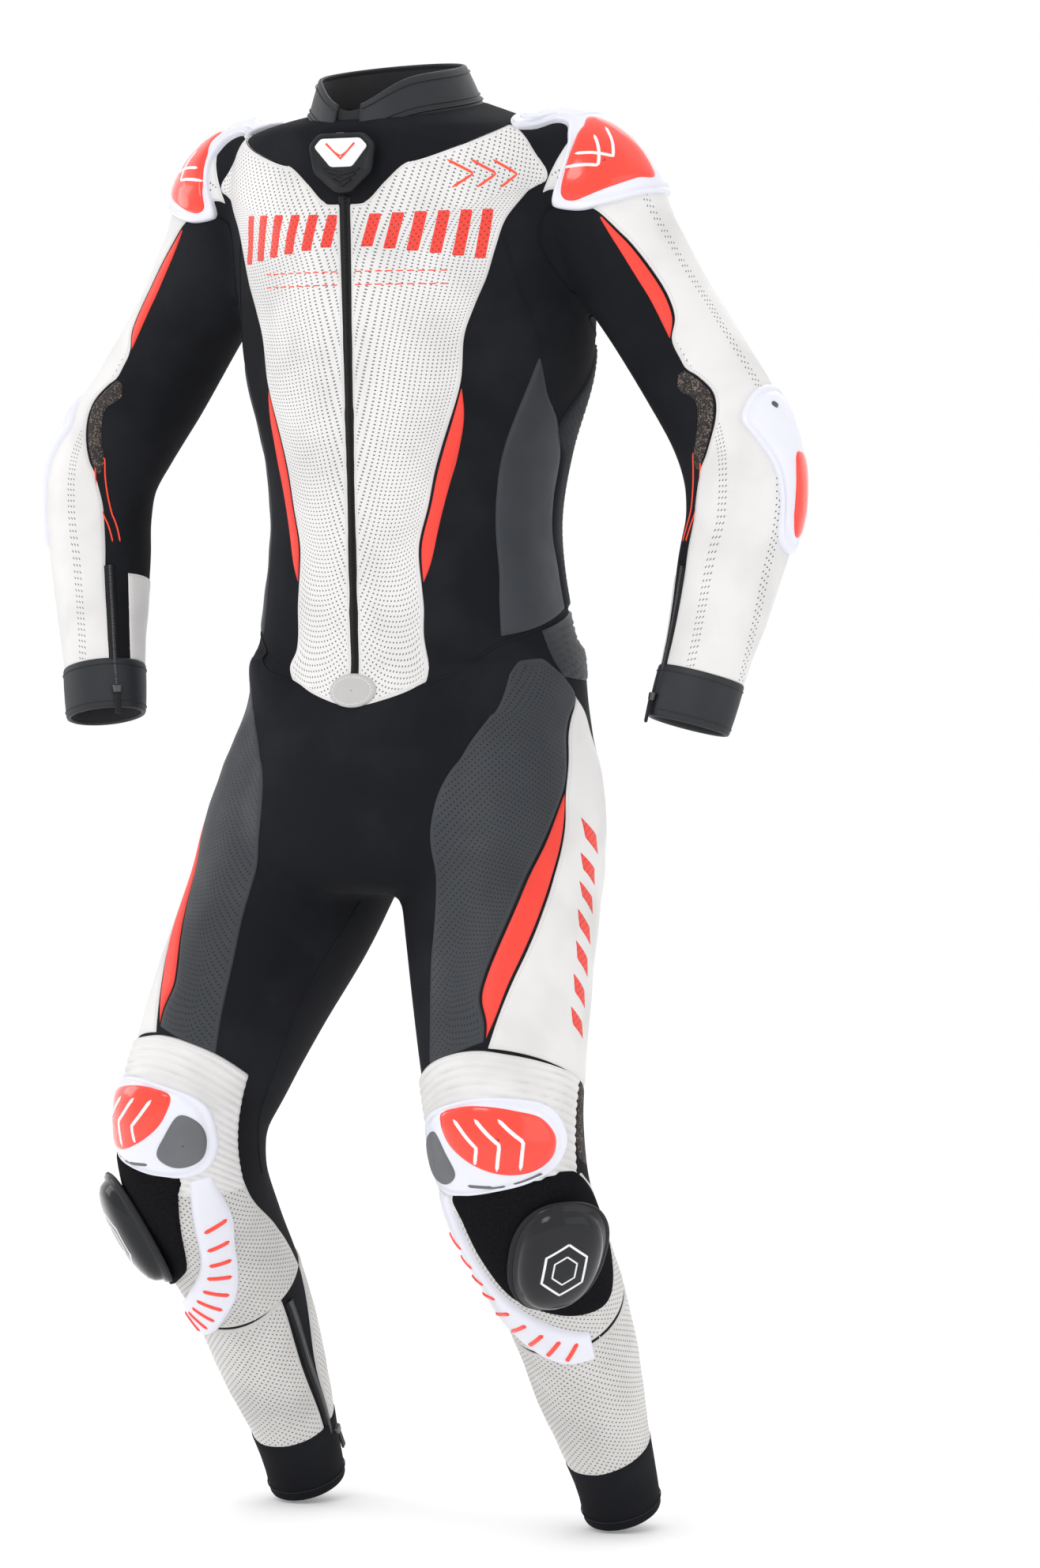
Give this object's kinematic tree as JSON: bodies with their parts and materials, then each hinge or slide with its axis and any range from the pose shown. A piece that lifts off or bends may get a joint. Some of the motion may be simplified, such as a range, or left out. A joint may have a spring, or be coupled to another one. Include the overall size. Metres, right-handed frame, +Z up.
{
  "type": "one-piece leather riding suit",
  "caption": "One-piece leather riding suit with bent sleeves and legs, moulded shoulder, elbow and knee cups, ribbed stretch panels and detachable knee sliders.",
  "frame": {"origin": "the neck point that a hanger or mannequin carries, between the shoulders at the height of the collar seam", "axes": "+Z up, -Y out of the chest, +X towards the wearer's left"},
  "size_m": [0.8698, 0.3748, 1.485],
  "materials": {
    "white_leather": "semi-matte white cowhide, perforated on the chest, back, sleeves and shins",
    "black_leather": "semi-matte black cowhide with tone-on-tone stitching",
    "grey_leather": "dark grey perforated cowhide",
    "red_leather": "fluorescent red smooth leather stripes",
    "stretch_fabric": "black ribbed stretch and knit fabric",
    "aramid_knit": "speckled brown-black aramid knit",
    "tpu_shell": "satin cool-white polyurethane guard",
    "red_gloss": "glossy red moulded insert",
    "slider_rubber": "near-black moulded rubber, glossy on the knee slider",
    "armour_foam": "charcoal protective foam",
    "zip_chain": "black coil zip with dark sliders"
  },
  "bodies": {
    "torso": {"yoke_left": "black_leather", "yoke_right": "black_leather", "back_yoke": "black_leather", "chest_left": "white_leather", "chest_right": "white_leather", "side_left": "black_leather", "side_right": "black_leather", "hip_accordion_left": "black_leather", "hip_accordion_right": "black_leather", "back_panel": "white_leather", "lumbar_stretch": "stretch_fabric", "collar": "black_leather", "zip_tape": "zip_chain", "zip_end_patch": "white_leather", "crotch_panel": "stretch_fabric", "seat_panel": "white_leather", "thigh_left": "grey_leather", "thigh_right": "grey_leather", "knee_stretch_left": "stretch_fabric", "knee_stretch_right": "stretch_fabric", "sleeve_left": "white_leather", "sleeve_right": "white_leather", "elbow_stretch_left": "stretch_fabric", "elbow_stretch_right": "stretch_fabric", "shoulder_cup_left": "tpu_shell", "shoulder_cup_right": "tpu_shell", "shoulder_armour_left": "armour_foam", "shoulder_armour_right": "armour_foam"},
    "main_slider": {"main_zip_slider": "zip_chain"},
    "main_pull": {"main_zip_pull": "slider_rubber"},
    "forearm_left": {"forearm_left": "white_leather", "cuff_left": "black_leather", "elbow_cup_left": "tpu_shell", "elbow_armour_left": "armour_foam", "sleeve_zip_tape_left": "zip_chain"},
    "sleeve_slider_left": {"sleeve_zip_slider_left": "zip_chain"},
    "shin_left": {"shin_left": "white_leather", "ankle_cuff_left": "stretch_fabric", "knee_cup_left": "tpu_shell", "knee_armour_left": "armour_foam", "shin_guard_left": "tpu_shell", "slider_pad_left": "stretch_fabric", "calf_zip_tape_left": "zip_chain"},
    "calf_slider_left": {"calf_zip_slider_left": "zip_chain"},
    "puck_left": {"knee_puck_left": "slider_rubber"},
    "forearm_right": {"forearm_right": "white_leather", "cuff_right": "black_leather", "elbow_cup_right": "tpu_shell", "elbow_armour_right": "armour_foam", "sleeve_zip_tape_right": "zip_chain"},
    "sleeve_slider_right": {"sleeve_zip_slider_right": "zip_chain"},
    "shin_right": {"shin_right": "white_leather", "ankle_cuff_right": "stretch_fabric", "knee_cup_right": "tpu_shell", "knee_armour_right": "armour_foam", "shin_guard_right": "tpu_shell", "slider_pad_right": "stretch_fabric", "calf_zip_tape_right": "zip_chain"},
    "calf_slider_right": {"calf_zip_slider_right": "zip_chain"},
    "puck_right": {"knee_puck_right": "slider_rubber"}
  },
  "joints": [
    {"name": "main_zip", "type": "slide", "parent": "torso", "child": "main_slider", "axis": [0, 0.042, -0.9991], "range_m": [0, 0.43]},
    {"name": "main_pull_swing", "type": "hinge", "parent": "main_slider", "child": "main_pull", "pos_m": [0, -0.16306, -0.00847], "axis": [-1, 0, 0], "range_deg": [0, 150]},
    {"name": "elbow_left", "type": "hinge", "parent": "torso", "child": "forearm_left", "pos_m": [0.366, -0.012, -0.34], "axis": [-0.1761, 0.9714, -0.1591], "range_deg": [-12, 22], "deforming": ["elbow_stretch_left"]},
    {"name": "sleeve_zip_left", "type": "slide", "parent": "forearm_left", "child": "sleeve_slider_left", "axis": [0.1432, 0.1476, 0.9786], "range_m": [0, 0.1]},
    {"name": "knee_left", "type": "hinge", "parent": "torso", "child": "shin_left", "pos_m": [0.181, -0.135, -1.015], "axis": [1, 0, 0], "range_deg": [-10, 35], "deforming": ["knee_stretch_left"]},
    {"name": "calf_zip_left", "type": "slide", "parent": "shin_left", "child": "calf_slider_left", "axis": [-0.0808, -0.6052, 0.792], "range_m": [0, 0.14]},
    {"name": "puck_pull_off_left", "type": "slide", "parent": "shin_left", "child": "puck_left", "axis": [0.6427, -0.5944, -0.4833], "range_m": [0, 0.06]},
    {"name": "elbow_right", "type": "hinge", "parent": "torso", "child": "forearm_right", "pos_m": [-0.366, -0.012, -0.34], "axis": [-0.1761, -0.9714, 0.1591], "range_deg": [-12, 22], "deforming": ["elbow_stretch_right"]},
    {"name": "sleeve_zip_right", "type": "slide", "parent": "forearm_right", "child": "sleeve_slider_right", "axis": [-0.1432, 0.1476, 0.9786], "range_m": [0, 0.1]},
    {"name": "knee_right", "type": "hinge", "parent": "torso", "child": "shin_right", "pos_m": [-0.181, -0.135, -1.015], "axis": [1, 0, 0], "range_deg": [-10, 35], "deforming": ["knee_stretch_right"]},
    {"name": "calf_zip_right", "type": "slide", "parent": "shin_right", "child": "calf_slider_right", "axis": [0.0808, -0.6052, 0.792], "range_m": [0, 0.14]},
    {"name": "puck_pull_off_right", "type": "slide", "parent": "shin_right", "child": "puck_right", "axis": [-0.6427, -0.5944, -0.4833], "range_m": [0, 0.06]}
  ]
}
